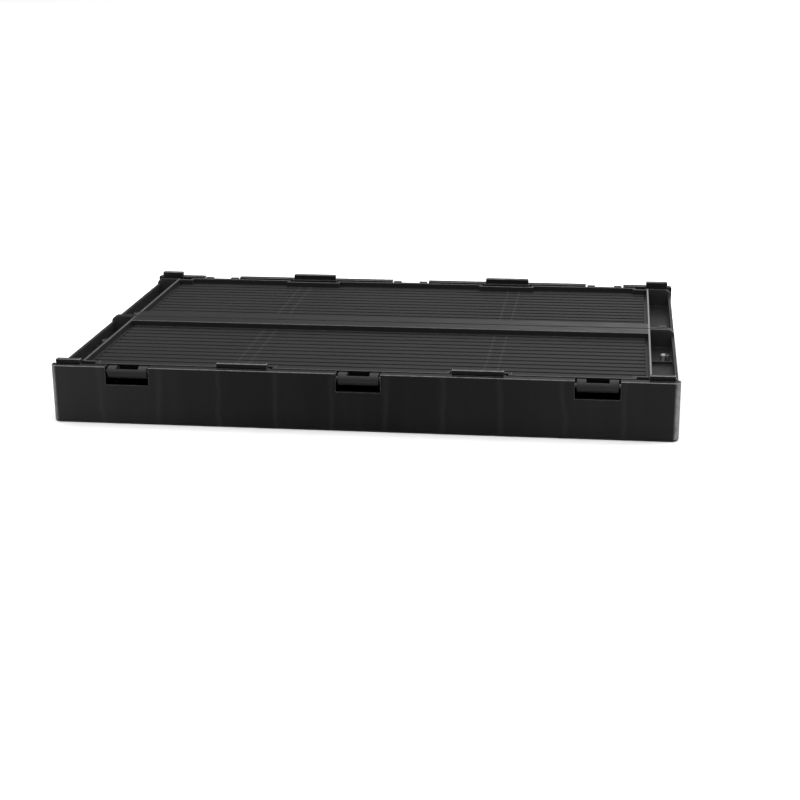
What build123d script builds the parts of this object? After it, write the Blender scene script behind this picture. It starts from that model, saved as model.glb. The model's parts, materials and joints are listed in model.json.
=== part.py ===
from build123d import *
import math
import os

os.makedirs("parts", exist_ok=True)

# A folding tote, folded flat.  Millimetres, +X along the long sides, +Y to the back, +Z up.
# The origin is the middle of the underside.  Every wall is drawn lying down, as it is when folded.

# ---- driving dimensions -------------------------------------------------------------------------
LENGTH = 600.0          # outside length at the rim
WIDTH = 400.0           # outside width at the rim
RIM_Z = 57.0            # top of the tray's long sides
DRAFT = 0.3             # how far each side leans in from rim to foot
CORNER_R = 7.0          # upright corner radius
WALL = 3.0              # tray wall
FOOT_R = 2.5            # rounding of the bottom edge
RIM_R = 1.0             # rounding of the rim's outer edge
FLOOR_BOTTOM = 1.2
FLOOR_TOP = 4.2
BITE = 1.0              # joined blocks reach this far into each other, cuts this far past a face
TOUCH = 0.01            # an edge this near to a plane lies in it
HALF_X = LENGTH / 2
HALF_Y = WIDTH / 2
INNER_X = HALF_X - WALL
INNER_Y = HALF_Y - WALL

# ---- foot and floor -----------------------------------------------------------------------------
FOOT_RING = 10.2        # width of the ring the tote stands on, with its rounding
FOOT_RING_R = 4.0       # inner corner radius of that ring
RIB_W = 3.0             # ribs above and below the floor
UNDER_RIB_PITCH = 80.0
FLOOR_RIB_H = 1.5
FLOOR_RIB_PITCH_X = 100.0
FLOOR_RIB_PITCH_Y = 90.0
FLOOR_RIB_END_X = 270.0
FLOOR_RIB_END_Y = 180.0

# ---- long side hinges ---------------------------------------------------------------------------
SIDE_HINGE_Y = HALF_Y - 7.0
SIDE_HINGE_Z = RIM_Z - 6.5
KNUCKLE_X = (-224.0, 0.0, 224.0)
KNUCKLE_LEN = 39.0
KNUCKLE_R = 6.2
KNUCKLE_EDGE_R = 0.8    # rounding of a knuckle's ends
NOTCH_W = 42.5
NOTCH_Z = 39.0
NOTCH_Y = SIDE_HINGE_Y - 5.5
NOTCH_R = 1.0           # rounding of a notch's lower outer edge
PIN_R = 2.25
PIN_HOLD = 5.0          # pin length held in the tray at each end
PIN_END_GAP = 0.2       # each pin is this much shorter than its seat
PIN_CHAMFER = 0.4
RUNNING_GAP = 0.08      # radial clearance of a knuckle on its pin
SEAT_GAP = 0.02         # radial clearance of a pin in its seat
RECESS_W = 21.5         # opening in each knuckle that shows the pin
RECESS_LIP_Z = SIDE_HINGE_Z + 3.5       # top of the lip in front of that opening
RECESS_LIP_Y = SIDE_HINGE_Y + 3.0       # back of that lip
RECESS_FLOOR = SIDE_HINGE_Z - 3.0

# ---- inside of the long sides ----------------------------------------------------------------
LEDGE_Y = SIDE_HINGE_Y - 4.5            # a swinging wall keeps 7 mm or more from the hinge axis
LEDGE_TOP = SIDE_HINGE_Z + 3.5
LEDGE_BOTTOM = SIDE_HINGE_Z - 6.5
LEDGE_W = NOTCH_W + 2 * PIN_HOLD + 6.0  # the ledge is only there to seat the pins
RIM_BAND_Y = SIDE_HINGE_Y - 1.8         # inner edge of the rim at full height
RIM_BAND_R = 0.6
CURB_TOP = 10.0         # low curb along the foot of the long sides
CURB_Y = 187.0          # inner face of that curb, clear of the sockets
GUSSET_X = (26.0, 80.0, 134.0, 194.0, 250.0)    # clear of the notches and the tabs
GUSSET_W = 2.5

# ---- stacking tabs ------------------------------------------------------------------------------
TAB_H = 5.5             # above the rim
TAB_Y = (190.0, 195.0)
TAB_TOP_R = 1.3
TAB_INSET = 3.6         # corner tabs keep this far inside the outline of the foot
MID_TAB_X = 112.5
MID_TAB_W = 49.0
CORNER_TAB_X = 283.0
CORNER_TAB_W = 24.0
TAB_PAD = 1.5           # how far the pad under a middle tab shows around it
SOCKET_GAP = 0.8        # clearance of a socket round the tab of the tote below
SOCKET_GAP_Y = 0.5
SOCKET_DEEPER = 0.7
TAB_SWEEP_Y = 179.2     # a side wall stays inboard of this beside a tab, to swing past it
TAB_GAP = 3.5           # side clearance of the cut-outs around the middle tabs
CORNER_STEP_X = 259.0   # the cut-outs for the corner tabs start here

# ---- long side walls ----------------------------------------------------------------------------
SEAM_Y = 1.2            # each wall stops this far from the middle
RAIL_Y = 20.0           # inner edge of the free-edge rail
RAIL_R = 0.7
RAIL_CELLS = 6          # hollows under the rail
RAIL_WEB = 2.0          # half the web between two of them
RAIL_SKIN = 3.0
BORDER_Y = SIDE_HINGE_Y - 7.0           # hinge-side edge of the panel
BORDER_Z = RIM_Z - 0.5
BORDER_R = 0.5
PANEL_WALL = 2.8
PANEL_BOTTOM = RIM_Z - 10.8
FIELD_Z = RIM_Z - 6.0   # top of the ribs
GROOVE_DEPTH = 1.0
GROOVE_W = 5.0
GROOVE_PITCH = 13.1
GROOVE_COUNT = 12
FIRST_GROOVE = 4.0      # from the rail to the middle of the first groove
CREST_R = 0.7           # rounding of the ribs
FRAME_X = 273.6         # outer face of the frame rib at each end of the ribbed field
FRAME_W = 2.0
FRAME_R = 0.5
RIB_END_X = 268.5
END_X = 298.5           # outer end of a side wall

# ---- pockets at the ends of the side walls ------------------------------------------------------
POCKET_BOTTOM = RIM_Z - 21.5
POCKET_FLOOR = RIM_Z - 19.0
POCKET_RIB_Y = 66.0
POCKET_RIB_H = 3.0
FLANGE_Z = RIM_Z - 6.5
FLANGE_R = 6.5
KEEPER_Y = 58.0
KEEPER_R = 4.6
KEEPER_TOP = POCKET_FLOOR + 7.5
KEEPER_TOP_R = 0.8
KEEPER_SKIN = 1.6
KEEPER_HOLE_R = 3.2

# ---- end walls ----------------------------------------------------------------------------------
END_HINGE_X = 287.5
END_HINGE_Z = 22.0
END_KNUCKLE_Y = 120.0
END_KNUCKLE_LEN = 50.0
END_KNUCKLE_R = 6.0
END_KNUCKLE_GAP = 1.5   # between a knuckle and the lugs beside it
END_ARM_Z = (END_HINGE_Z - 5.0, END_HINGE_Z + 4.0)
END_LUG_W = 8.0
END_LUG_X = END_HINGE_X - 6.5
END_LUG_TOP = 28.0
END_SIDE_Z = 34.5       # top of the tray's short sides
END_POST_Y = 190.0      # the corner posts reach in to here at full height
CUTOUT_Y = 65.0
CUTOUT_Z = 7.0
END_HALF_W = 177.5      # half the width of an end wall
END_INNER = 11.0        # face that looks into the tote when the wall is up
END_OUTER = 29.5
END_SKIN = 3.0
END_FRAME = 6.0
END_FOOT = 9.0          # first solid rail, measured from the hinge
END_CORNER_R = 3.0
END_RIB_W = 2.2
END_RIB_TOP = END_OUTER - 1.5
END_RIBS_ALONG = 5
END_RIB_PITCH = 60.0

# ---- latch --------------------------------------------------------------------------------------
BOLT_Z = 22.5
BOLT_NOSE_R = 2.8
BOLT_GUIDE_GAP = 0.35
BOLT_HALF = 7.0         # half the width of a bolt's body
LATCH_TRAVEL = 8.5
TOP_S = (SIDE_HINGE_Z + SIDE_HINGE_Y - SEAM_Y) - END_HINGE_Z          # hinge to top edge
BOLT_S = (SIDE_HINGE_Z + SIDE_HINGE_Y - KEEPER_Y) - END_HINGE_Z       # hinge to latch bolt
KEEPER_X = END_HINGE_X + BOLT_Z - END_HINGE_Z
GRIP_HALF = 55.0        # half width of the hand hole
GRIP_S0 = BOLT_S - 10.5
GRIP_S1 = TOP_S - 8.75
BAR_H = 12.0
BAR_S0 = GRIP_S1 - LATCH_TRAVEL - 1.0 - BAR_H
BAR_Z = (END_INNER + 2.5, END_OUTER - 1.0)
BAR_R = 4.0
BAR_END_GAP = 0.8
ARM_ROOT_V = GRIP_HALF - 3.0            # an arm starts here, inside the bar
ARM_INSET = 1.0         # an arm is this much narrower than the bar on each side
ARM_END_GAP = 2.0
ARM_V = 94.0            # outer edge of the pocket that the grip's arm slides in
HOUSING_V = 165.0       # outer end of the bolt channel
HOUSING_TOP = 26.0
CHANNEL_HALF = 9.0      # half the width of the bolt channel
COVER_T = 2.0
COVER_EDGE = (3.0, 4.0)                 # how far the cover laps past the grip hole and the channel
COVER_GAP = 0.4
COVER_PLAY = 0.05       # the cover lies this much below its seat
COVER_HOLE_R = 2.0
ARM_Z = (21.2, 25.5)
TAIL_Z = (14.5, 20.8)
PEG_V = 76.0
PEG_S = BOLT_S - 2.5
PEG_R = 2.0
PEG_BLOCK = 8.0         # half the block that carries a peg
PEG_LAND = 4.0          # that block reaches this far past the peg's middle
PEG_OUT = 0.8           # a peg comes this far out of the bolt's tail
SLOT_GAP = 0.35
SLOT_OVER = 0.2         # a slot runs this much past the peg at both ends
NOSE_SHORT = 0.3        # a shut bolt stops this far short of its full travel
NOSE_ROOT = 8.0         # a nose reaches this far into its channel
NOSE_CHAMFER = 1.2
BODY_END_GAP = 6.0      # room for a bolt's body at the outer end of its channel
TAIL_LAND = 5.0         # a tail reaches this far past its slot
TAIL_SIDE = 9.0
TAIL_END_GAP = 1.0
BODY_V = ARM_V + 25.0   # inner end of a bolt's body
STOP_V = (ARM_V + 2.0, ARM_V + 4.5)     # rib the latch spring pushes against
SPRING_PLAY = 0.3
SPRING_V = (STOP_V[1] + SPRING_PLAY, BODY_V - SPRING_PLAY)
SPRING_Z = (21.6, 25.0)
SPRING_FOLDS = 6
SPRING_T = 0.9
SPRING_HALF = 5.5


# ---- helpers ------------------------------------------------------------------------------------
def block(x0, x1, y0, y1, z0, z1):
    """A box between two corners, given in any order."""
    size = (abs(x1 - x0), abs(y1 - y0), abs(z1 - z0))
    return Pos((x0 + x1) / 2, (y0 + y1) / 2, (z0 + z1) / 2) * Box(*size)


def rod_x(x0, x1, y, z, radius):
    """A cylinder along X."""
    return Pos((x0 + x1) / 2, y, z) * Rot(0, 90, 0) * Cylinder(radius, abs(x1 - x0))


def rod_y(x, y0, y1, z, radius):
    """A cylinder along Y."""
    return Pos(x, (y0 + y1) / 2, z) * Rot(90, 0, 0) * Cylinder(radius, abs(y1 - y0))


def rod_z(x, y, z0, z1, radius):
    """A cylinder along Z."""
    return Pos(x, y, (z0 + z1) / 2) * Cylinder(radius, abs(z1 - z0))


def swap_y(shape):
    """The same piece on the other long side."""
    return mirror(shape, about=Plane.XZ)


def swap_x(shape):
    """The same piece on the other short side."""
    return mirror(shape, about=Plane.YZ)


def tab_places():
    """Middle and width of every stacking tab on one long side."""
    places = []
    for side in (-1, 1):
        places.append((side * MID_TAB_X, MID_TAB_W))
        places.append((side * CORNER_TAB_X, CORNER_TAB_W))
    return places


def inside_foot(inset, height):
    """A prism over the foot's outline, drawn in by inset."""
    outline = RectangleRounded(LENGTH - 2 * (DRAFT + inset), WIDTH - 2 * (DRAFT + inset),
                               CORNER_R - inset)
    return extrude(outline, height)


# ---- tray ---------------------------------------------------------------------------------------
def tray_shell():
    """Drafted outer box with its cavity, low short sides and their cut-outs."""
    foot = RectangleRounded(LENGTH - 2 * DRAFT, WIDTH - 2 * DRAFT, CORNER_R)
    rim = Pos(0, 0, RIM_Z) * RectangleRounded(LENGTH, WIDTH, CORNER_R)
    shell = loft([foot, rim], ruled=True)
    shell = fillet(shell.faces().sort_by(Axis.Z)[0].edges(), FOOT_R)
    shell = fillet(shell.faces().sort_by(Axis.Z)[-1].edges(), RIM_R)
    hollow = extrude(RectangleRounded(2 * INNER_X, 2 * INNER_Y, CORNER_R - WALL), RIM_Z)
    shell -= Pos(0, 0, FLOOR_TOP) * hollow
    shell -= block(-LENGTH, LENGTH, -END_POST_Y, END_POST_Y, END_SIDE_Z, LENGTH)
    for side in (-1, 1):
        shell -= block(side * (INNER_X - BITE), side * LENGTH, -CUTOUT_Y, CUTOUT_Y, CUTOUT_Z, LENGTH)
    return shell


def tray_underside():
    """The shallow recess inside the foot ring, with the ribs that stay in it."""
    inset = 2 * (DRAFT + FOOT_RING)
    recess = extrude(RectangleRounded(LENGTH - inset, WIDTH - inset, FOOT_RING_R), FLOOR_BOTTOM)
    for index in range(-3, 4):
        x = index * UNDER_RIB_PITCH
        recess -= block(x - RIB_W / 2, x + RIB_W / 2, -HALF_Y, HALF_Y, -BITE, FLOOR_BOTTOM + BITE)
    for index in range(4):
        y = (index - 1.5) * UNDER_RIB_PITCH
        recess -= block(-HALF_X, HALF_X, y - RIB_W / 2, y + RIB_W / 2, -BITE, FLOOR_BOTTOM + BITE)
    return recess


def floor_ribs():
    """Low ribs on the inside of the floor."""
    bottom, top = FLOOR_TOP - BITE / 2, FLOOR_TOP + FLOOR_RIB_H
    ribs = []
    for index in range(-2, 3):
        x = index * FLOOR_RIB_PITCH_X
        ribs.append(block(x - RIB_W / 2, x + RIB_W / 2, -FLOOR_RIB_END_Y, FLOOR_RIB_END_Y,
                          bottom, top))
    for index in range(-1, 2):
        y = index * FLOOR_RIB_PITCH_Y
        ribs.append(block(-FLOOR_RIB_END_X, FLOOR_RIB_END_X, y - RIB_W / 2, y + RIB_W / 2,
                          bottom, top))
    return ribs


def front_ledge():
    """Everything inside the front long side: rim band, pin ledges, gussets, curb and tab pads."""
    wall_y = INNER_Y + BITE
    reach = INNER_X + BITE
    band = block(-reach, reach, -wall_y, -RIM_BAND_Y, LEDGE_BOTTOM, RIM_Z)
    band_edge = band.edges().filter_by(Axis.X).group_by(Axis.Z)[-1].sort_by(Axis.Y)[-1]
    pieces = [
        fillet(band_edge, RIM_BAND_R),
        block(-reach, reach, -wall_y, -CURB_Y, FLOOR_TOP - BITE, CURB_TOP),
    ]
    for x in KNUCKLE_X:
        pieces.append(block(x - LEDGE_W / 2, x + LEDGE_W / 2, -wall_y, -LEDGE_Y,
                            LEDGE_BOTTOM, LEDGE_TOP))
    for side in (-1, 1):
        for place in GUSSET_X:
            x = side * place
            pieces.append(block(x - GUSSET_W / 2, x + GUSSET_W / 2, -wall_y, -RIM_BAND_Y,
                                FLOOR_TOP - BITE, LEDGE_BOTTOM + BITE))
        mid = side * MID_TAB_X
        half = MID_TAB_W / 2 + TAB_PAD
        pieces.append(block(mid - half, mid + half, -wall_y, -(LEDGE_Y - TAB_PAD),
                            LEDGE_BOTTOM, BORDER_Z))
    outline = inside_foot(WALL / 2, RIM_Z)
    return [piece & outline for piece in pieces]


def front_tabs():
    """Stacking tabs with rounded tops along the front."""
    outline = inside_foot(TAB_INSET, RIM_Z + TAB_H + BITE)
    tabs = []
    for x, width in tab_places():
        tab = block(x - width / 2, x + width / 2, -TAB_Y[1], -TAB_Y[0], SIDE_HINGE_Z, RIM_Z + TAB_H)
        tab = tab & outline
        tabs.append(fillet(tab.faces().sort_by(Axis.Z)[-1].edges(), TAB_TOP_R))
    return tabs


def front_cuts():
    """Hinge notches, pin seats and the sockets that take the tabs of a tote below."""
    cuts = []
    for x in KNUCKLE_X:
        cuts.append(block(x - NOTCH_W / 2, x + NOTCH_W / 2, -HALF_Y - BITE, -NOTCH_Y,
                          NOTCH_Z, RIM_Z + BITE))
        reach = NOTCH_W / 2 + PIN_HOLD
        cuts.append(rod_x(x - reach, x + reach, -SIDE_HINGE_Y, SIDE_HINGE_Z, PIN_R + SEAT_GAP))
    outline = Pos(0, 0, -BITE) * inside_foot(TAB_INSET - SOCKET_GAP, LENGTH)
    for x, width in tab_places():
        half = width / 2 + SOCKET_GAP
        socket = block(x - half, x + half, -(TAB_Y[1] + SOCKET_GAP_Y), -(TAB_Y[0] - SOCKET_GAP_Y),
                       -BITE, TAB_H + SOCKET_DEEPER)
        cuts.append(socket & outline)
    return cuts


def end_lugs():
    """Lugs on the right short side that hold the end wall's hinge pins."""
    lugs = []
    for mid in (-END_KNUCKLE_Y, END_KNUCKLE_Y):
        for side in (-1, 1):
            inner = mid + side * (END_KNUCKLE_LEN / 2 + END_KNUCKLE_GAP)
            lugs.append(block(END_LUG_X, INNER_X + BITE, inner, inner + side * END_LUG_W,
                              FLOOR_TOP - BITE, END_LUG_TOP))
    return lugs


def end_seats():
    """Seats for the end wall's hinge pins in those lugs."""
    seats = []
    reach = END_KNUCKLE_LEN / 2 + END_KNUCKLE_GAP + PIN_HOLD
    for mid in (-END_KNUCKLE_Y, END_KNUCKLE_Y):
        seats.append(rod_y(END_HINGE_X, mid - reach, mid + reach, END_HINGE_Z, PIN_R + SEAT_GAP))
    return seats


def notch_edges(tray):
    """The lower outer edge of every hinge notch."""
    edges = []
    for edge in tray.edges().filter_by(Axis.X):
        middle = edge.center()
        if abs(middle.Z - NOTCH_Z) < TOUCH and abs(middle.Y) > INNER_Y:
            edges.append(edge)
    return edges


def base_tray():
    """The tray that everything folds into."""
    tray = tray_shell() - tray_underside()
    front = front_ledge() + front_tabs()
    right = end_lugs()
    tray += floor_ribs() + front + [swap_y(piece) for piece in front]
    tray += right + [swap_x(piece) for piece in right]
    cuts = front_cuts()
    seats = end_seats()
    tray -= cuts + [swap_y(cut) for cut in cuts] + seats + [swap_x(seat) for seat in seats]
    return fillet(notch_edges(tray), NOTCH_R)


# ---- long side walls ----------------------------------------------------------------------------
def tab_clearances():
    """Space beside the hinge that the stacking tabs need as the wall swings up."""
    cuts = []
    for side in (-1, 1):
        mid = side * MID_TAB_X
        half = MID_TAB_W / 2 + TAB_GAP
        cuts.append(block(mid - half, mid + half, -HALF_Y, -TAB_SWEEP_Y, 0, LENGTH))
        cuts.append(block(side * CORNER_STEP_X, side * HALF_X, -HALF_Y, -TAB_SWEEP_Y, 0, LENGTH))
    return cuts


def ribbed_field():
    """The sheet between rail and border: flat ribs with rounded crests and shallow grooves."""
    near, far = -BORDER_Y + BITE, -RAIL_Y + BITE
    groove_floor = FIELD_Z - GROOVE_DEPTH
    sheet = block(-FRAME_X + BITE, FRAME_X - BITE, near, far, PANEL_BOTTOM, groove_floor)
    ribs = block(-RIB_END_X, RIB_END_X, near, far, PANEL_BOTTOM + BITE, FIELD_Z)
    for index in range(GROOVE_COUNT):
        y = -RAIL_Y - FIRST_GROOVE - index * GROOVE_PITCH
        ribs -= block(-HALF_X, HALF_X, y - GROOVE_W / 2, y + GROOVE_W / 2, groove_floor, RIM_Z)
    crests = ribs.edges().filter_by(Axis.X).group_by(Axis.Z)[-1]
    return [sheet, fillet(crests, CREST_R)]


def free_edge_rail():
    """The rail along the middle of the folded tote, hollow underneath between its webs."""
    rail = block(-FRAME_X, FRAME_X, -RAIL_Y, -SEAM_Y, PANEL_BOTTOM, RIM_Z)
    rail = fillet(rail.edges().filter_by(Axis.X).group_by(Axis.Z)[-1], RAIL_R)
    pitch = 2 * FRAME_X / RAIL_CELLS
    for index in range(RAIL_CELLS):
        start = -FRAME_X + index * pitch
        rail -= block(start + RAIL_WEB, start + pitch - RAIL_WEB, -RAIL_Y + RAIL_SKIN,
                      -SEAM_Y - RAIL_SKIN, PANEL_BOTTOM - BITE, RIM_Z - RAIL_SKIN)
    return rail


def hinge_border():
    """The raised edge beside the hinge, stepping inboard round each stacking tab."""
    inner = -TAB_SWEEP_Y + PANEL_WALL
    border = block(-CORNER_STEP_X, CORNER_STEP_X, -BORDER_Y, -BORDER_Y + PANEL_WALL,
                   PANEL_BOTTOM, BORDER_Z)
    for side in (-1, 1):
        mid = side * MID_TAB_X
        half = MID_TAB_W / 2 + TAB_GAP + PANEL_WALL
        step = side * CORNER_STEP_X
        step_in = step - side * PANEL_WALL
        border += block(mid - half, mid + half, -BORDER_Y, inner, PANEL_BOTTOM, BORDER_Z)
        border += block(step_in, step, -BORDER_Y, inner, PANEL_BOTTOM, BORDER_Z)
        border += block(step_in, side * FRAME_X, -TAB_SWEEP_Y, inner, PANEL_BOTTOM, BORDER_Z)
    border -= tab_clearances()
    return fillet(border.faces().sort_by(Axis.Z)[-1].edges(), BORDER_R)


def end_pocket():
    """The deep pocket at the right end, which the end wall's latch locks into."""
    outer = block(FRAME_X - FRAME_W, END_X, -TAB_SWEEP_Y, -SEAM_Y, POCKET_BOTTOM, RIM_Z)
    outer_top = outer.edges().filter_by(Axis.Y).group_by(Axis.X)[-1].group_by(Axis.Z)[-1]
    outer = fillet(outer_top, FLANGE_R)
    near, far = -TAB_SWEEP_Y + PANEL_WALL, -SEAM_Y - PANEL_WALL
    inside = block(FRAME_X, END_X - PANEL_WALL, near, far, POCKET_FLOOR, LENGTH)
    low_flange = block(END_X - PANEL_WALL - FLANGE_R, LENGTH, near, far, FLANGE_Z, LENGTH)
    pocket = outer - inside - low_flange
    rib_top = pocket.edges().filter_by(Axis.Y).group_by(Axis.Z)[-1].group_by(Axis.X)[0]
    pocket = fillet(rib_top, FRAME_R)
    pocket += block(FRAME_X - BITE, END_X - BITE, -POCKET_RIB_Y - PANEL_WALL, -POCKET_RIB_Y,
                    POCKET_FLOOR - BITE, POCKET_FLOOR + POCKET_RIB_H)
    boss = rod_z(KEEPER_X, -KEEPER_Y, POCKET_FLOOR - BITE, KEEPER_TOP, KEEPER_R)
    pocket += fillet(boss.faces().sort_by(Axis.Z)[-1].edges(), KEEPER_TOP_R)
    return pocket - rod_z(KEEPER_X, -KEEPER_Y, POCKET_BOTTOM - BITE, KEEPER_TOP - KEEPER_SKIN,
                          KEEPER_HOLE_R)


def side_knuckle(x):
    """One hinge knuckle with its arm, and the lipped opening that shows the pin."""
    half = KNUCKLE_LEN / 2
    barrel = rod_x(x - half, x + half, -SIDE_HINGE_Y, SIDE_HINGE_Z, KNUCKLE_R)
    barrel = fillet(barrel.edges(), KNUCKLE_EDGE_R)
    arm = block(x - half, x + half, -SIDE_HINGE_Y, -BORDER_Y + BITE, PANEL_BOTTOM, LEDGE_TOP)
    left, right = x - RECESS_W / 2, x + RECESS_W / 2
    opening = block(left, right, -HALF_Y - BITE, -BORDER_Y, RECESS_LIP_Z, LENGTH)
    opening += block(left, right, -RECESS_LIP_Y, -BORDER_Y, RECESS_FLOOR, LENGTH)
    return barrel + arm - opening


def front_side_wall():
    """The front long wall, folded in over the end walls."""
    right_pocket = end_pocket()
    wall = free_edge_rail() + ribbed_field() + [hinge_border(), right_pocket, swap_x(right_pocket)]
    wall -= tab_clearances()
    wall += [side_knuckle(x) for x in KNUCKLE_X]
    bore = rod_x(-HALF_X, HALF_X, -SIDE_HINGE_Y, SIDE_HINGE_Z, PIN_R + RUNNING_GAP)
    return wall - bore


def side_pin(x):
    """A hinge pin across one notch, seated in the tray at both ends."""
    reach = NOTCH_W / 2 + PIN_HOLD - PIN_END_GAP
    pin = rod_x(x - reach, x + reach, -SIDE_HINGE_Y, SIDE_HINGE_Z, PIN_R)
    return chamfer(pin.edges(), PIN_CHAMFER)


# ---- end walls ----------------------------------------------------------------------------------
def at_s(s):
    """X of a point that lies s from the right end wall's hinge."""
    return END_HINGE_X - s


def strip(s0, s1, v0, v1, z0, z1):
    """A block on the right end wall: s from the hinge, v across the wall."""
    return block(at_s(s1), at_s(s0), v0, v1, z0, z1)


def end_panel():
    """Skin, frame and stiffening ribs of the right end wall, with a solid latch zone."""
    first_s = END_FOOT + END_FRAME
    latch_s = GRIP_S0 - END_FRAME
    panel = strip(END_FOOT, TOP_S, -END_HALF_W, END_HALF_W, END_INNER, END_OUTER)
    panel = fillet(panel.edges().filter_by(Axis.Z), END_CORNER_R)
    panel -= strip(first_s, latch_s, -END_HALF_W + END_FRAME, END_HALF_W - END_FRAME,
                   END_INNER + END_SKIN, END_OUTER + BITE)
    half = END_RIB_W / 2
    ribs = []
    for index in range(END_RIBS_ALONG):
        s = first_s + (index + 1) * (latch_s - first_s) / (END_RIBS_ALONG + 1)
        ribs.append(strip(s - half, s + half, -END_HALF_W + BITE, END_HALF_W - BITE,
                          END_INNER + BITE, END_RIB_TOP))
    for index in range(-2, 3):
        v = index * END_RIB_PITCH
        ribs.append(strip(END_FOOT + BITE, latch_s + BITE, v - half, v + half,
                          END_INNER + BITE, END_RIB_TOP))
    return panel + ribs


def latch_housing():
    """What is cut from the right end wall for the hand hole, grip, bolts and cover."""
    lap_s, lap_v = COVER_EDGE
    cuts = [
        strip(GRIP_S0, GRIP_S1, -GRIP_HALF, GRIP_HALF, 0, LENGTH),
        strip(GRIP_S0 - lap_s, GRIP_S1 + lap_s, -HOUSING_V - lap_v, HOUSING_V + lap_v,
              0, END_INNER + COVER_T),
    ]
    for side in (-1, 1):
        cuts.append(strip(GRIP_S0 + BITE, GRIP_S1, side * (GRIP_HALF - BITE), side * ARM_V,
                          0, HOUSING_TOP))
        cuts.append(strip(BOLT_S - CHANNEL_HALF, BOLT_S + CHANNEL_HALF, side * (ARM_V - BITE),
                          side * HOUSING_V, 0, HOUSING_TOP))
        cuts.append(rod_y(at_s(BOLT_S), side * (HOUSING_V - BITE), side * (END_HALF_W + BITE),
                          BOLT_Z, BOLT_NOSE_R + BOLT_GUIDE_GAP))
    return cuts


def spring_stops():
    """Ribs in the bolt channels that the latch springs push against."""
    half = CHANNEL_HALF + BITE / 2
    stops = []
    for side in (-1, 1):
        stops.append(strip(BOLT_S - half, BOLT_S + half, side * STOP_V[0], side * STOP_V[1],
                           ARM_Z[0], HOUSING_TOP + BITE))
    return stops


def end_knuckles():
    """Knuckles and arms of the right end wall."""
    half = END_KNUCKLE_LEN / 2
    pieces = []
    for mid in (-END_KNUCKLE_Y, END_KNUCKLE_Y):
        pieces.append(rod_y(END_HINGE_X, mid - half, mid + half, END_HINGE_Z, END_KNUCKLE_R))
        pieces.append(strip(0, END_FOOT + BITE, mid - half, mid + half, *END_ARM_Z))
    return pieces


def right_end_wall():
    """The right end wall, folded under the side walls."""
    wall = end_panel() - latch_housing()
    wall += spring_stops() + end_knuckles()
    return wall - rod_y(END_HINGE_X, -HALF_Y, HALF_Y, END_HINGE_Z, PIN_R + RUNNING_GAP)


def end_pin(y):
    """A hinge pin of the right end wall."""
    reach = END_KNUCKLE_LEN / 2 + END_KNUCKLE_GAP + PIN_HOLD - PIN_END_GAP
    pin = rod_y(END_HINGE_X, y - reach, y + reach, END_HINGE_Z, PIN_R)
    return chamfer(pin.edges(), PIN_CHAMFER)


# ---- latch of the right end wall ----------------------------------------------------------------
def right_grip():
    """The squeeze bar in the hand hole, with an arm and a drive peg at each end."""
    bar_v = GRIP_HALF - BAR_END_GAP
    bar = strip(BAR_S0, BAR_S0 + BAR_H, -bar_v, bar_v, *BAR_Z)
    grip = [fillet(bar.edges().filter_by(Axis.Y), BAR_R)]
    for side in (-1, 1):
        grip.append(strip(BAR_S0 + ARM_INSET, BAR_S0 + BAR_H - ARM_INSET,
                          side * ARM_ROOT_V, side * (ARM_V - ARM_END_GAP), *ARM_Z))
        grip.append(strip(PEG_S - PEG_LAND, BAR_S0 + ARM_INSET + BITE,
                          side * (PEG_V - PEG_BLOCK), side * (PEG_V + PEG_BLOCK), *ARM_Z))
        grip.append(rod_z(at_s(PEG_S), side * PEG_V, TAIL_Z[0] - PEG_OUT, ARM_Z[0] + BITE, PEG_R))
    return Part() + grip


def right_back_bolt():
    """A latch bolt: round nose, guided body, and a tail with a slanted slot for the peg."""
    tip = END_HALF_W + LATCH_TRAVEL - NOSE_SHORT
    nose = rod_y(at_s(BOLT_S), HOUSING_V - NOSE_ROOT, tip, BOLT_Z, BOLT_NOSE_R)
    nose = chamfer(nose.faces().sort_by(Axis.Y)[-1].edges(), NOSE_CHAMFER)
    left, right = BOLT_S - BOLT_HALF, BOLT_S + BOLT_HALF
    body = strip(left, right, BODY_V, HOUSING_V - BODY_END_GAP, TAIL_Z[0], ARM_Z[1])
    neck = strip(left, right, ARM_V - TAIL_END_GAP - BITE, BODY_V + BITE, *TAIL_Z)
    tail = strip(PEG_S - TAIL_LAND, PEG_S + LATCH_TRAVEL + TAIL_LAND,
                 PEG_V - TAIL_SIDE, ARM_V - TAIL_END_GAP, *TAIL_Z)
    bolt = body + [nose, neck, tail]
    reach = LATCH_TRAVEL + 2 * SLOT_OVER
    path = SlotCenterToCenter(reach * math.sqrt(2), 2 * (PEG_R + SLOT_GAP))
    ahead = reach / 2 - SLOT_OVER
    middle = Pos(at_s(PEG_S + ahead), PEG_V + ahead, TAIL_Z[0] - BITE)
    return bolt - middle * Rot(0, 0, 135) * extrude(path, TAIL_Z[1] - TAIL_Z[0] + 2 * BITE)


def right_back_spring():
    """The folded strip that pushes a latch bolt outwards."""
    start, end = SPRING_V
    pitch = (end - start - SPRING_T) / SPRING_FOLDS
    pieces = []
    for index in range(SPRING_FOLDS + 1):
        v = start + index * pitch
        pieces.append(strip(BOLT_S - SPRING_HALF, BOLT_S + SPRING_HALF, v, v + SPRING_T, *SPRING_Z))
        if index < SPRING_FOLDS:
            edge = SPRING_HALF if index % 2 else -SPRING_HALF
            inner = edge - math.copysign(SPRING_T, edge)
            pieces.append(strip(BOLT_S + inner, BOLT_S + edge, v, v + pitch + SPRING_T, *SPRING_Z))
    return Part() + pieces


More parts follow.
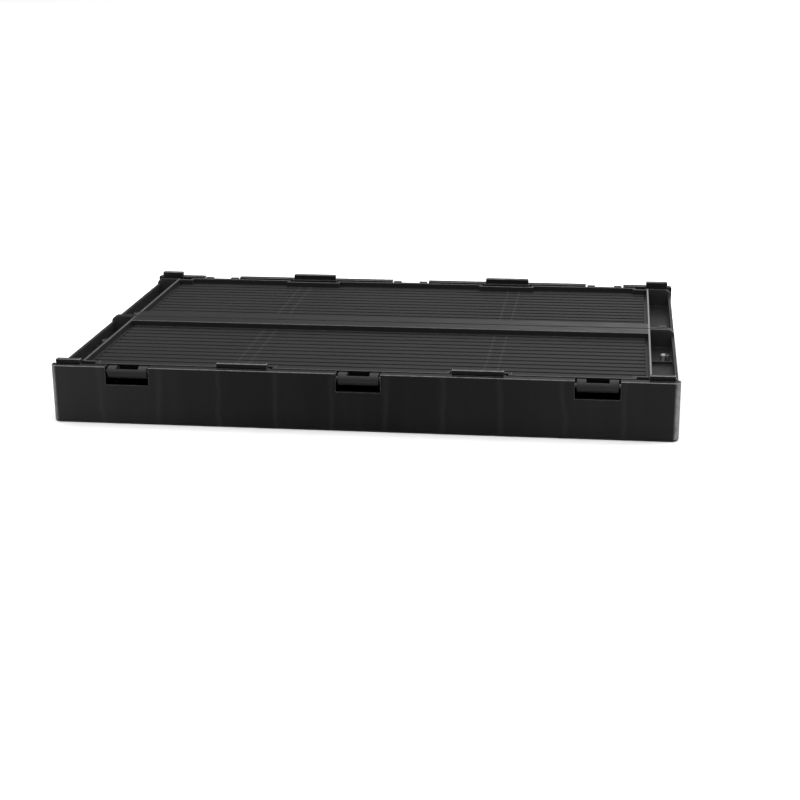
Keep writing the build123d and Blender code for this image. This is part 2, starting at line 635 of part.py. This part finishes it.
def right_latch_cover():
    """The plate that closes the latch housing from inside the tote."""
    lap_s, lap_v = COVER_EDGE[0] - COVER_GAP, COVER_EDGE[1] - COVER_GAP
    cover = strip(GRIP_S0 - lap_s, GRIP_S1 + lap_s, -HOUSING_V - lap_v, HOUSING_V + lap_v,
                  END_INNER, END_INNER + COVER_T - COVER_PLAY)
    hole = strip(GRIP_S0, GRIP_S1, -GRIP_HALF, GRIP_HALF, 0, LENGTH)
    return cover - fillet(hole.edges().filter_by(Axis.Z), COVER_HOLE_R)


# ---- writing the pieces -------------------------------------------------------------------------
def save(name, shape):
    """Write one piece as one STEP file."""
    solids = shape.solids()
    piece = solids[0] if len(solids) == 1 else Compound(children=solids)
    export_step(piece, "parts/" + name + ".step")


def on_four_corners(pieces, name, right_back):
    """Put a piece of the right end wall's back half at all four corners."""
    pieces["right_back_" + name] = right_back
    pieces["right_front_" + name] = swap_y(right_back)
    pieces["left_back_" + name] = swap_x(right_back)
    pieces["left_front_" + name] = swap_x(swap_y(right_back))


def build_all():
    """Every piece of the tote, by name."""
    front = front_side_wall()
    pieces = {
        "base_tray": base_tray(),
        "front_side_wall": front,
        "back_side_wall": swap_y(front),
    }
    ends = {
        "end_wall": right_end_wall(),
        "grip": right_grip(),
        "latch_cover": right_latch_cover(),
    }
    for name, right in ends.items():
        pieces["right_" + name] = right
        pieces["left_" + name] = swap_x(right)
    for place, x in zip(("left", "middle", "right"), KNUCKLE_X):
        pin = side_pin(x)
        pieces["front_" + place + "_hinge_pin"] = pin
        pieces["back_" + place + "_hinge_pin"] = swap_y(pin)
    on_four_corners(pieces, "latch_bolt", right_back_bolt())
    on_four_corners(pieces, "latch_spring", right_back_spring())
    on_four_corners(pieces, "end_hinge_pin", end_pin(END_KNUCKLE_Y))
    return pieces


for piece_name, piece_shape in build_all().items():
    save(piece_name, piece_shape)
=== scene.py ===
import json
import math

import bpy
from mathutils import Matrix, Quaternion, Vector


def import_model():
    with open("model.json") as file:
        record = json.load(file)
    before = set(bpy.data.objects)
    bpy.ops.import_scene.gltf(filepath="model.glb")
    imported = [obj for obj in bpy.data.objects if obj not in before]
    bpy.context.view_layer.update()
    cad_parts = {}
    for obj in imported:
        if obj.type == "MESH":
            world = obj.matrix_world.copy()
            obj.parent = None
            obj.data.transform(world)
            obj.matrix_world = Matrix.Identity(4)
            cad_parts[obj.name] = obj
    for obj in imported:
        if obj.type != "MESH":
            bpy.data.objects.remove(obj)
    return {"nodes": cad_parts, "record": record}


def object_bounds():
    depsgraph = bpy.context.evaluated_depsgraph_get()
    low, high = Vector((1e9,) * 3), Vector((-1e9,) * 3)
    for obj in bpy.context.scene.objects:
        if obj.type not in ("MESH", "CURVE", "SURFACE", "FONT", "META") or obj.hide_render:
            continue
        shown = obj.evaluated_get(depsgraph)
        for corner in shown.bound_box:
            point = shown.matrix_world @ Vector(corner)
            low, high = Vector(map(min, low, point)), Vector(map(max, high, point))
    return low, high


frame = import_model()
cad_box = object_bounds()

# A folding tote, folded flat, in satin black moulded plastic.  Metres, in the frame of the CAD model.
MM = 0.001
HALF_X, HALF_Y, TAB_TOP = cad_box[1]

# ---- view ---------------------------------------------------------------------------------------
CAMERA_PLACE = Vector((0.2403, -1.6660, 0.4854))
CAMERA_PITCH = math.radians(17.0)       # downwards
CAMERA_YAW = math.radians(7.78)         # to the left
CAMERA_ROLL = math.radians(-0.49)
LENS = 74.15
SENSOR = 36.0

# ---- surroundings -------------------------------------------------------------------------------
OVERHEAD = 1.20         # brightness straight up
FRONT_LEFT = 0.50       # near the horizon, in front of the tote
FRONT_RIGHT = 0.42
BACK_LEFT = 0.10        # near the horizon, behind the tote
BACK_RIGHT = 0.90
FRONT_BLEND = (-0.35, 0.05)             # directions between which left turns into right in front
BACK_BLEND = (-0.30, 0.22)              # and behind
DEPTH_BLEND = (-0.2, 0.6)               # front into back
HEIGHT_BLEND = (0.45, 0.85)             # horizon into overhead
SOFTBOXES = {
    "overhead": {"place": (0.0, 1.0, 4.0), "target": (0.0, 1.0, 0.0),
                 "width": 8.0, "height": 8.0, "power": 330.0},
    "right": {"place": (1.9, 0.5, 0.9), "target": (0.2, 0.0, 0.05),
              "width": 0.8, "height": 1.0, "power": 14.0},
}
FLOOR_HALF = 20.0
FLOOR_SHADE = (0.88, 0.91)
FLOOR_ROUGHNESS = 0.7

# ---- places on the tray, as distances from the middle planes ------------------------------------
SIDE_Y = (HALF_Y - 1.6 * MM, HALF_Y - 1.0 * MM)         # the outer long sides begin between these
END_X = (HALF_X - 1.6 * MM, HALF_X - 1.0 * MM)          # and the outer short sides between these
TAB_FACE_Y = HALF_Y - 5.0 * MM
ABOVE_RIM = TAB_TOP - 5.3 * MM
GUSSETS = [place * MM for place in (26.0, 80.0, 134.0, 194.0, 250.0)]   # ribs behind the long sides
SINK_WIDTH = 4.0 * MM                   # faint lines where those ribs stand, painted lighter as painted sheen
SINK_SWAY = 12.0 * MM
ENDS_X = (30.0 * MM, HALF_X + 10.0 * MM)                # painted reflection: the long sides lighter towards both ends and lighter still towards the left end
LEFT_X = (-140.0 * MM, -280.0 * MM)                     # and more of it towards the left end

# ---- places on the side walls, as distances from the middle planes ------------------------------
SEAM_Y = (3.0 * MM, 3.4 * MM)           # the edges along the middle seam lie within
RAIL_Y = 19.8 * MM                      # the middle rails lie within
RAIL_GLINT_X = (20.0 * MM, 270.0 * MM)    # and carry painted glints, stronger and stronger from left to right
FIELD_Y = 20.5 * MM                     # the ribbed field lies beyond
FIELD_X = HALF_X - 31.5 * MM            # and within
FIELD_TOP = TAB_TOP - 11.0 * MM
TOP_Z = TAB_TOP - 6.3 * MM              # the uppermost faces lie above
FRAME_RIB_X = HALF_X - 27.4 * MM        # the thin rib at each end of the ribbed field
FRAME_RIB_W = 1.4 * MM
# the painted highlight on the frame ribs' tops grows across these
FRAME_HIGHLIGHT_X = (-200.0 * MM, 200.0 * MM)
POCKET_X = (HALF_X - 26.2 * MM, HALF_X - 25.8 * MM)     # the pockets lie beyond
BORDER_FACE_Y = HALF_Y - 14.0 * MM      # the face in the gap beside the tray's rim, painted dark as painted shade
KNUCKLE_Y = (HALF_Y - 13.8 * MM, HALF_Y - 13.4 * MM)    # the hinge knuckles lie beyond
FACE_WIDTH = 0.6 * MM                   # anything this near to a face belongs to it
PRINT_THROUGH = (115.0 * MM, 127.5 * MM)                # faint lines across the ribbed field, painted lighter as painted sheen
PRINT_WIDTH = 1.8 * MM
KEEPER_X = HALF_X - 13.8 * MM           # side of the front wall's right latch keeper that gets a painted glint
KEEPER_Y = -58.0 * MM
KEEPER_W = 5.2 * MM
KEEPER_FOOT = TAB_TOP - 23.5 * MM

# ---- colours ------------------------------------------------------------------------------------
BLACK_TRAY = (0.011, 0.011, 0.0113)
BLACK_WALL = (0.011, 0.011, 0.0114)
BLACK_LATCH = (0.012, 0.012, 0.013)
BLACK_PIN = (0.016, 0.016, 0.017)
TINT = (0.85, 1.15)                             # how much each black varies
WORN_AND_HIGHLIT_GREY = (0.22, 0.22, 0.223, 1.0)                 # worn edges, also painted lighter as painted edge highlights
# dust, and the painted sheen and reflection on the tray's sides and the field's lines
DUST_AND_SHEEN_GREY = (0.030, 0.030, 0.031, 1.0)
PAINTED_SHADE_BLACK = (0.0018, 0.0018, 0.0019, 1.0)        # painted shade: near-black on the tray's upright outer sides and in the gap beside its rim

# ---- patterns -----------------------------------------------------------------------------------
CLOUDS = {"scale": 9.0}
MOTTLE = {"scale": 160.0, "detail": 4.0}
GRAIN = {"scale": 1500.0, "detail": 2.0}
SCUFFS = {"scale": 8.0, "detail": 6.0, "roughness": 0.7, "stretch": (14.0, 60.0, 60.0)}
STREAKS = {"scale": 3.0, "detail": 4.0, "stretch": (9.0, 60.0, 60.0)}
FLOW = {"scale": 34.0, "detail": 5.0, "stretch": (1.0, 1.0, 0.12)}
SWAY = {"scale": 22.0}
FLOOR_PATCHES = {"scale": 3.0}
MIDDLING = (0.3, 0.7)                   # most of a pattern lies between these
CLOUD_RANGE = (0.35, 0.65)
MOTTLE_RANGE = (0.3, 0.6)
SCUFF_RANGE = (0.60, 0.74)
STREAK_RANGE = (0.36, 0.66)
FLOW_RANGE = (0.42, 0.70)

# ---- edges and faces, told apart by the way the surface faces -----------------------------------
EDGE_RADIUS = 0.6 * MM
SHARP_TURN = (0.97, 0.80)               # cosine of a rounded normal's turn, from flat to sharp edge
ROUND_TURN = (0.985, 0.87)              # largest part of the normal, from flat to rounding
DOWNWARD = (-0.25, 0.0)                 # upward part of the normal, from downwards to level
LEVEL = (0.3, 0.7)                      # and from upright to level

# ---- strengths ----------------------------------------------------------------------------------
DENT_DEPTH = 0.12 * MM
GRAIN_DEPTH = 0.04 * MM
CLOUD_GLOSS = (-0.04, 0.05)             # added to the roughness
MOTTLE_GLOSS = 0.05
FLOW_GLOSS = 0.10
FIELD_GLOSS = 0.14
SCUFF_DUST = 0.10
END_REFLECTION = 0.20
FLOW_DUST = 0.08
SINK_SHEEN = 0.16
PRINT_SHEEN = 0.65
UPRIGHT_DUST = (0.40, 0.80)             # on a side wall's upright faces, and in its pockets
# edge wear, painted lighter together with painted edge highlights
PLAIN_WEAR_AND_HIGHLIGHT = 0.5
TRAY_WEAR_AND_HIGHLIGHT = 0.75
WALL_WEAR_AND_HIGHLIGHT = 0.60
FIELD_WEAR_AND_HIGHLIGHT = 0.05
SEAM_WEAR_AND_HIGHLIGHT = 0.05                        # times the wall's
KNUCKLE_WEAR_AND_HIGHLIGHT = 0.12                     # times the wall's
PATCHY_WEAR_AND_HIGHLIGHT = 0.5                       # the least worn and least highlit places along an edge
# painted glints on the rails and a keeper, painted highlights on the frame ribs
RAIL_GLINT = 0.16
PATCHY_GLINT = 0.35
FRAME_HIGHLIGHT = (0.25, 0.9)                 # at the left and at the right
KEEPER_GLINT = 0.4                        # the painted glint is full from here inwards


# ---- small helpers for node trees ---------------------------------------------------------------
def new_material(name):
    """A material with an empty node tree, and its tree."""
    material = bpy.data.materials.new(name)
    material.use_nodes = True
    material.node_tree.nodes.clear()
    return material, material.node_tree


def add(tree, kind, **settings):
    """A node of that kind with its properties set."""
    node = tree.nodes.new("ShaderNode" + kind)
    for key, value in settings.items():
        setattr(node, key, value)
    return node


def feed(tree, socket, value):
    """Set a socket to a number or colour, or link it to another socket."""
    if isinstance(value, bpy.types.NodeSocket):
        tree.links.new(value, socket)
    else:
        socket.default_value = value


def maths(tree, operation, first, *others):
    """One arithmetic operation, carried through all the values in turn."""
    result = first
    for value in others or (0.0,):
        node = add(tree, "Math", operation=operation)
        feed(tree, node.inputs[0], result)
        feed(tree, node.inputs[1], value)
        result = node.outputs[0]
    return result


def rescale(tree, value, low, high, out_low=0.0, out_high=1.0):
    """Map low..high onto out_low..out_high and clamp."""
    node = add(tree, "MapRange", clamp=True)
    for index, entry in enumerate((value, low, high, out_low, out_high)):
        feed(tree, node.inputs[index], entry)
    return node.outputs[0]


def inverse(tree, value):
    """1 where the value is 0, and 0 where it is 1 or more."""
    return rescale(tree, value, 0.0, 1.0, 1.0, 0.0)


def mix_colour(tree, factor, first, second):
    """Blend two colours."""
    node = add(tree, "Mix", data_type="RGBA")
    feed(tree, node.inputs["Factor"], factor)
    feed(tree, node.inputs["A"], first)
    feed(tree, node.inputs["B"], second)
    return node.outputs["Result"]


def noise(tree, place, scale, detail=3.0, roughness=0.55, stretch=None):
    """Fractal noise at a place, with its axes scaled apart if asked."""
    if stretch:
        mapping = add(tree, "Mapping")
        feed(tree, mapping.inputs["Vector"], place)
        mapping.inputs["Scale"].default_value = stretch
        place = mapping.outputs["Vector"]
    node = add(tree, "TexNoise")
    feed(tree, node.inputs["Vector"], place)
    node.inputs["Scale"].default_value = scale
    node.inputs["Detail"].default_value = detail
    node.inputs["Roughness"].default_value = roughness
    return node.outputs["Fac"]


def split(tree, vector):
    """The X, Y and Z of a vector."""
    parts = add(tree, "SeparateXYZ")
    feed(tree, parts.inputs[0], vector)
    return parts.outputs["X"], parts.outputs["Y"], parts.outputs["Z"]


def facing(tree):
    """The X, Y and Z of the surface's direction, in the piece's own frame."""
    return split(tree, add(tree, "TexCoord").outputs["Normal"])


def bands(tree, value, places, width):
    """1 on narrow soft bands at those places and 0 between them."""
    result = []
    for middle in places:
        off = maths(tree, "ABSOLUTE", maths(tree, "SUBTRACT", value, middle))
        result.append(rescale(tree, off, 0.0, width, 1.0, 0.0))
    return maths(tree, "ADD", *result)


def bumps(tree, height, distance, normal):
    """A bump of that height field, on top of another normal."""
    node = add(tree, "Bump")
    feed(tree, node.inputs["Height"], height)
    node.inputs["Distance"].default_value = distance
    feed(tree, node.inputs["Normal"], normal)
    return node.outputs["Normal"]


# ---- masks for edges and faces ------------------------------------------------------------------
def sharp_edges(tree):
    """1 on sharp edges and 0 on flats, from how far a rounded normal turns, and that normal."""
    rounded = add(tree, "Bevel", samples=6)
    rounded.inputs["Radius"].default_value = EDGE_RADIUS
    plain = add(tree, "NewGeometry")
    dot = add(tree, "VectorMath", operation="DOT_PRODUCT")
    feed(tree, dot.inputs[0], rounded.outputs["Normal"])
    feed(tree, dot.inputs[1], plain.outputs["Normal"])
    return rescale(tree, dot.outputs["Value"], *SHARP_TURN), rounded.outputs["Normal"]


def round_edges(tree):
    """1 where the surface faces between the main directions and not downwards, as roundings do."""
    direction = facing(tree)
    sizes = [maths(tree, "ABSOLUTE", part) for part in direction]
    between = rescale(tree, maths(tree, "MAXIMUM", *sizes), *ROUND_TURN)
    # only roundings that face up get the painted edge highlight
    return maths(tree, "MULTIPLY", between, rescale(tree, direction[2], *DOWNWARD))


def upright_faces(tree):
    """1 on upright faces and 0 on level ones."""
    up = maths(tree, "ABSOLUTE", facing(tree)[2])
    return rescale(tree, up, *LEVEL, 1.0, 0.0)


# ---- marks on the tray --------------------------------------------------------------------------
def sink_lines(tree, place, off_x):
    """Swaying upright lines where ribs stand behind the long sides."""
    centred = maths(tree, "SUBTRACT", noise(tree, place, **SWAY), 0.5)
    swayed = maths(tree, "ADD", off_x, maths(tree, "MULTIPLY", centred, SINK_SWAY))
    return bands(tree, swayed, GUSSETS, SINK_WIDTH)


def outer_faces(tree, off_x, off_y, z, on_side):
    """1 on the tray's outer long and short sides and on the faces of its stacking tabs."""
    on_end = rescale(tree, off_x, *END_X)
    tab_face = maths(tree, "MULTIPLY", bands(tree, off_y, (TAB_FACE_Y,), FACE_WIDTH),
                     maths(tree, "GREATER_THAN", z, ABOVE_RIM))
    return maths(tree, "MAXIMUM", on_side, on_end, tab_face)


def tray_marks(tree, place):
    """Outer sides and tab faces near-black as painted shade, faint sink lines painted lighter as painted
    sheen, flow marks, and lighter towards the ends as painted reflection.
    """
    x, y, z = split(tree, place)
    off_x = maths(tree, "ABSOLUTE", x)
    off_y = maths(tree, "ABSOLUTE", y)
    on_side = rescale(tree, off_y, *SIDE_Y)
    sinks = maths(tree, "MULTIPLY", sink_lines(tree, place, off_x), on_side)
    flow = rescale(tree, noise(tree, place, **FLOW), *FLOW_RANGE)
    flow = maths(tree, "MULTIPLY", flow, on_side)
    # painted reflection: lighter towards both ends, more at the left
    painted_end_reflection = maths(tree, "ADD", rescale(tree, off_x, *ENDS_X, 0.0, END_REFLECTION),
                 rescale(tree, x, *LEFT_X, 0.0, END_REFLECTION))
    dust_and_sheen = maths(tree, "ADD", maths(tree, "MULTIPLY", painted_end_reflection, on_side),
                 maths(tree, "MULTIPLY", flow, FLOW_DUST),
                 maths(tree, "MULTIPLY", sinks, SINK_SHEEN))
    outside = outer_faces(tree, off_x, off_y, z, on_side)
    return {
        "dent": sinks,
        "gloss": maths(tree, "MULTIPLY", flow, FLOW_GLOSS),
        "dust_and_sheen": dust_and_sheen,
        "wear_and_highlight": TRAY_WEAR_AND_HIGHLIGHT,
        "painted_glint": 0.0,
        # painted shade: the upright outer sides and tab faces darkened
        "painted_shade": maths(tree, "MULTIPLY", outside, upright_faces(tree)),
    }


# ---- marks on the side walls --------------------------------------------------------------------
def ribbed_field(tree, off_x, off_y, z):
    """1 inside the ribbed field."""
    return maths(tree, "MULTIPLY", maths(tree, "LESS_THAN", off_x, FIELD_X),
                 maths(tree, "GREATER_THAN", off_y, FIELD_Y),
                 maths(tree, "LESS_THAN", z, FIELD_TOP))


def painted_rail_glints(tree, place, x, off_y):
    """Painted glints: light streaks along the middle rails, stronger towards the right."""
    streaks = rescale(tree, noise(tree, place, **STREAKS), *STREAK_RANGE, PATCHY_GLINT, 1.0)
    return maths(tree, "MULTIPLY", maths(tree, "LESS_THAN", off_y, RAIL_Y),
                 rescale(tree, x, *RAIL_GLINT_X, 0.0, RAIL_GLINT), streaks)


def painted_frame_highlights(tree, x, off_x):
    """Painted highlights on the tops of the ribs at the ends of the field, lighter at the right."""
    return maths(tree, "MULTIPLY", bands(tree, off_x, (FRAME_RIB_X,), FRAME_RIB_W),
                 rescale(tree, x, *FRAME_HIGHLIGHT_X, *FRAME_HIGHLIGHT))


def painted_keeper_glint(tree, x, y, z):
    """A painted glint: a light patch on the front wall's right latch keeper."""
    patch = maths(tree, "MULTIPLY", bands(tree, x, (KEEPER_X,), KEEPER_W / 2),
                  bands(tree, y, (KEEPER_Y,), 2 * KEEPER_W),
                  maths(tree, "GREATER_THAN", z, KEEPER_FOOT))
    return rescale(tree, patch, 0.0, KEEPER_GLINT)


def wall_marks(tree, place):
    """A duller ribbed field with lines printing through as painted sheen, painted glints and highlights
    on the tops, dust, and painted shade in the gap beside the rim.
    """
    x, y, z = split(tree, place)
    off_x = maths(tree, "ABSOLUTE", x)
    off_y = maths(tree, "ABSOLUTE", y)
    inside = ribbed_field(tree, off_x, off_y, z)
    # lines printing through: a dent, and painted sheen
    lines = maths(tree, "MULTIPLY", bands(tree, off_x, PRINT_THROUGH, PRINT_WIDTH), inside)
    # painted shade on the face in the gap beside the rim
    gap = bands(tree, off_y, (BORDER_FACE_Y,), FACE_WIDTH)

    # painted glints and highlights on the uppermost faces
    tops = maths(tree, "MAXIMUM", painted_rail_glints(tree, place, x, off_y), painted_frame_highlights(tree, x, off_x))
    tops = maths(tree, "MULTIPLY", tops, maths(tree, "GREATER_THAN", z, TOP_Z))
    film = maths(tree, "MULTIPLY", upright_faces(tree),
                 rescale(tree, off_x, *POCKET_X, *UPRIGHT_DUST),
                 inverse(tree, maths(tree, "ADD", inside, gap)))
    wear_and_highlight = maths(tree, "MULTIPLY", rescale(tree, inside, 0.0, 1.0, WALL_WEAR_AND_HIGHLIGHT, FIELD_WEAR_AND_HIGHLIGHT),
                 rescale(tree, off_y, *KNUCKLE_Y, 1.0, KNUCKLE_WEAR_AND_HIGHLIGHT),
                 rescale(tree, off_y, *SEAM_Y, SEAM_WEAR_AND_HIGHLIGHT, 1.0))
    return {
        "dent": lines,
        "gloss": maths(tree, "MULTIPLY", inside, FIELD_GLOSS),
        "dust_and_sheen": maths(tree, "MAXIMUM", maths(tree, "MULTIPLY", lines, PRINT_SHEEN), film),
        "wear_and_highlight": wear_and_highlight,
        "painted_glint": maths(tree, "MAXIMUM", tops, painted_keeper_glint(tree, x, y, z)),
        "painted_shade": gap,
    }


# ---- plastics -----------------------------------------------------------------------------------
def shaded(colour, factor):
    """A colour made lighter or darker, with its alpha."""
    return [channel * factor for channel in colour] + [1.0]


def plastic(name, colour, roughness, level, marks=None):
    """Satin black moulded plastic: grain, cloudy gloss, scuffs, dust, worn edges with painted highlights,
    and its marks' painted glints, sheen and shade.
    """
    material, tree = new_material(name)
    place = add(tree, "TexCoord").outputs["Object"]
    sharp, normal = sharp_edges(tree)
    edges = maths(tree, "MAXIMUM", sharp, round_edges(tree))
    clouds = noise(tree, place, **CLOUDS)
    mottle = noise(tree, place, **MOTTLE)

    base = mix_colour(tree, rescale(tree, clouds, *CLOUD_RANGE), *[shaded(colour, tint) for tint in TINT])
    dust_and_sheen = rescale(tree, noise(tree, place, **SCUFFS), *SCUFF_RANGE, 0.0, SCUFF_DUST)
    wear_and_highlight = PLAIN_WEAR_AND_HIGHLIGHT
    painted_glint = 0.0
    rough = rescale(tree, clouds, *MIDDLING, *[roughness + change for change in CLOUD_GLOSS])
    rough = maths(tree, "ADD", rough, maths(tree, "MULTIPLY", mottle, MOTTLE_GLOSS))
    if marks:
        found = marks(tree, place)
        rough = maths(tree, "ADD", rough, found["gloss"])
        dust_and_sheen = maths(tree, "MAXIMUM", dust_and_sheen, found["dust_and_sheen"])
        wear_and_highlight = found["wear_and_highlight"]
        painted_glint = found["painted_glint"]
        # painted shade mixed into the colour
        base = mix_colour(tree, found["painted_shade"], base, PAINTED_SHADE_BLACK)
        normal = bumps(tree, found["dent"], DENT_DEPTH, normal)
    patches = rescale(tree, mottle, *MOTTLE_RANGE, PATCHY_WEAR_AND_HIGHLIGHT, 1.0)
    # edges lighter from wear and from painted highlights
    worn_and_highlit = maths(tree, "MULTIPLY", edges, patches, wear_and_highlight)
    # dust, with painted sheen and reflection, lightens the colour
    base = mix_colour(tree, dust_and_sheen, base, DUST_AND_SHEEN_GREY)
    # painted glints and highlights, and real edge wear, lighten the colour here
    base = mix_colour(tree, maths(tree, "MAXIMUM", worn_and_highlit, painted_glint), base, WORN_AND_HIGHLIT_GREY)
    normal = bumps(tree, noise(tree, place, **GRAIN), GRAIN_DEPTH, normal)

    shader = add(tree, "BsdfPrincipled")
    shader.inputs["Specular IOR Level"].default_value = level
    feed(tree, shader.inputs["Base Color"], base)
    feed(tree, shader.inputs["Roughness"], rough)
    feed(tree, shader.inputs["Normal"], normal)
    feed(tree, add(tree, "OutputMaterial").inputs["Surface"], shader.outputs["BSDF"])
    return material


def tray_plastic(name):
    """The tray: smooth, with little shine."""
    return plastic(name, BLACK_TRAY, roughness=0.30, level=0.08, marks=tray_marks)


def wall_plastic(name):
    """The side walls, end walls and latch covers."""
    return plastic(name, BLACK_WALL, roughness=0.32, level=0.11, marks=wall_marks)


def latch_plastic(name):
    """The grips, bolts and springs: shinier."""
    return plastic(name, BLACK_LATCH, roughness=0.30, level=0.35)


def pin_plastic(name):
    """The hinge pins: smoothest."""
    return plastic(name, BLACK_PIN, roughness=0.28, level=0.35)


def finishes():
    """The material of each slot in the record."""
    makers = {"tray_plastic": tray_plastic, "wall_plastic": wall_plastic,
              "latch_plastic": latch_plastic, "pin_plastic": pin_plastic}
    return {slot: make(slot) for slot, make in makers.items()}


def assign(node_name, material):
    """Give a carried-over piece its material."""
    mesh = frame["nodes"][node_name].data
    mesh.materials.clear()
    mesh.materials.append(material)
    for face in mesh.polygons:
        face.material_index = 0


# ---- floor, light and camera --------------------------------------------------------------------
def floor_paint():
    """Pale paint with a slight unevenness."""
    material, tree = new_material("pale_floor")
    patches = noise(tree, add(tree, "TexCoord").outputs["Object"], **FLOOR_PATCHES)
    shade = rescale(tree, patches, *MIDDLING, *FLOOR_SHADE)
    colour = add(tree, "CombineColor")
    for socket in colour.inputs:
        feed(tree, socket, shade)
    shader = add(tree, "BsdfPrincipled")
    feed(tree, shader.inputs["Base Color"], colour.outputs["Color"])
    shader.inputs["Roughness"].default_value = FLOOR_ROUGHNESS
    feed(tree, add(tree, "OutputMaterial").inputs["Surface"], shader.outputs["BSDF"])
    return material


def floor():
    """A plain pale floor under the tote."""
    corners = [(along * FLOOR_HALF, across * FLOOR_HALF, 0.0)
               for along, across in ((-1, -1), (1, -1), (1, 1), (-1, 1))]
    mesh = bpy.data.meshes.new("floor")
    mesh.from_pydata(corners, [], [(0, 1, 2, 3)])
    mesh.materials.append(floor_paint())
    plane = bpy.data.objects.new("floor", mesh)
    bpy.context.scene.collection.objects.link(plane)


def softbox(name, place, target, width, height, power):
    """A rectangular soft light that faces a point."""
    data = bpy.data.lights.new(name, "AREA")
    data.shape = "RECTANGLE"
    data.size = width
    data.size_y = height
    data.energy = power
    light = bpy.data.objects.new(name, data)
    light.location = place
    light.rotation_euler = (Vector(target) - Vector(place)).to_track_quat("-Z", "Y").to_euler()
    bpy.context.scene.collection.objects.link(light)


def world():
    """Pale surroundings: bright overhead, dimmer near the horizon, darkest behind at the left."""
    surroundings = bpy.data.worlds.new("surroundings")
    surroundings.use_nodes = True
    tree = surroundings.node_tree
    x, y, z = split(tree, add(tree, "TexCoord").outputs["Generated"])
    back = rescale(tree, x, *BACK_BLEND, BACK_LEFT, BACK_RIGHT)
    front = rescale(tree, x, *FRONT_BLEND, FRONT_LEFT, FRONT_RIGHT)
    low = rescale(tree, y, *DEPTH_BLEND, front, back)
    background = tree.nodes["Background"]
    background.inputs["Color"].default_value = (1.0, 1.0, 1.0, 1.0)
    feed(tree, background.inputs["Strength"], rescale(tree, z, *HEIGHT_BLEND, low, OVERHEAD))
    bpy.context.scene.world = surroundings


def camera():
    """The camera, in front of the tote's right half and looking down on it."""
    data = bpy.data.cameras.new("camera")
    data.lens = LENS
    data.sensor_width = SENSOR
    holder = bpy.data.objects.new("camera", data)
    forward = Vector((-math.sin(CAMERA_YAW) * math.cos(CAMERA_PITCH),
                      math.cos(CAMERA_YAW) * math.cos(CAMERA_PITCH),
                      -math.sin(CAMERA_PITCH)))
    turn = forward.to_track_quat("-Z", "Y") @ Quaternion((0, 0, 1), CAMERA_ROLL)
    holder.rotation_euler = turn.to_euler()
    holder.location = CAMERA_PLACE
    bpy.context.scene.collection.objects.link(holder)
    bpy.context.scene.camera = holder


def main():
    """Everything in the scene."""
    camera()
    floor()
    world()
    for name, settings in SOFTBOXES.items():
        softbox(name, **settings)
    by_slot = finishes()
    for part in frame["record"]["subparts"]:
        assign(part["node"], by_slot[part["material_slot"]])
    bpy.context.scene.view_settings.view_transform = "Standard"


main()
